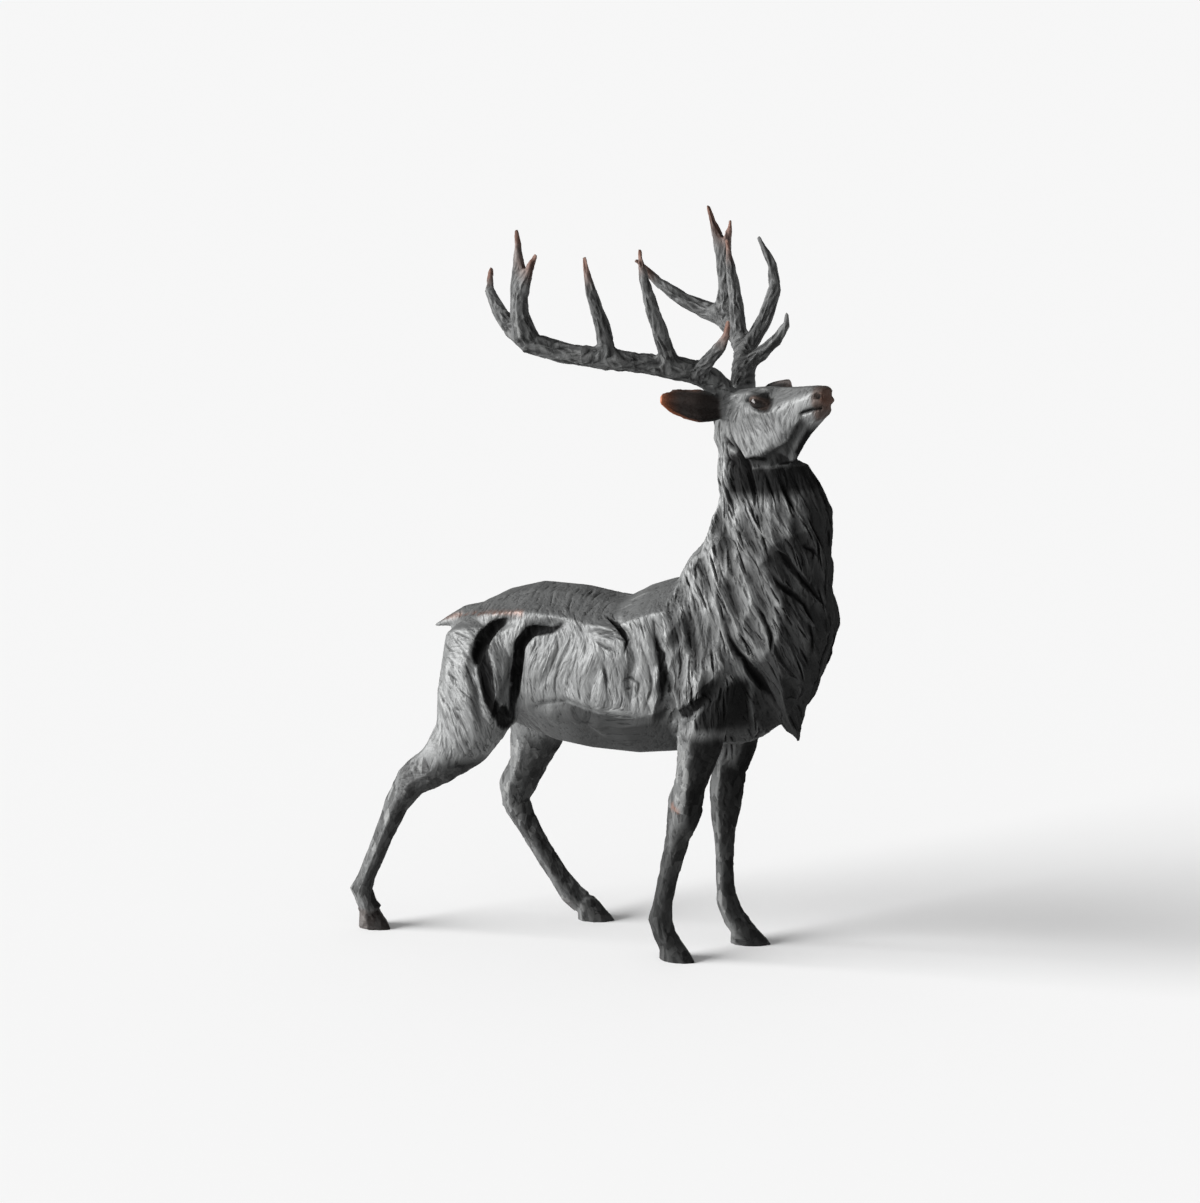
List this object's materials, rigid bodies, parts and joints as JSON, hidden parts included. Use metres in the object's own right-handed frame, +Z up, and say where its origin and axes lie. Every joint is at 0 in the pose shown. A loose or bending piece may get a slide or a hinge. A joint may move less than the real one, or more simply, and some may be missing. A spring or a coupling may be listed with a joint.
{
  "type": "stag statue",
  "caption": "Standing stag with raised head and branching antlers, cast in one piece, with a chisel-cut coat and a long shaggy mane.",
  "frame": {"origin": "middle of the statue's bounding box in plan, on the ground under its hooves", "axes": "+X the way the body faces, +Y to the stag's left, +Z up; the head turns 18 degrees towards -Y"},
  "size_m": [0.3524, 0.1996, 0.5],
  "materials": {
    "iron": "satin dark iron, near black in the cuts, rubbed to copper brown at the antler tips, ear rims, nose and hooves"
  },
  "bodies": {
    "root": {"stag": "iron"}
  },
  "joints": []
}
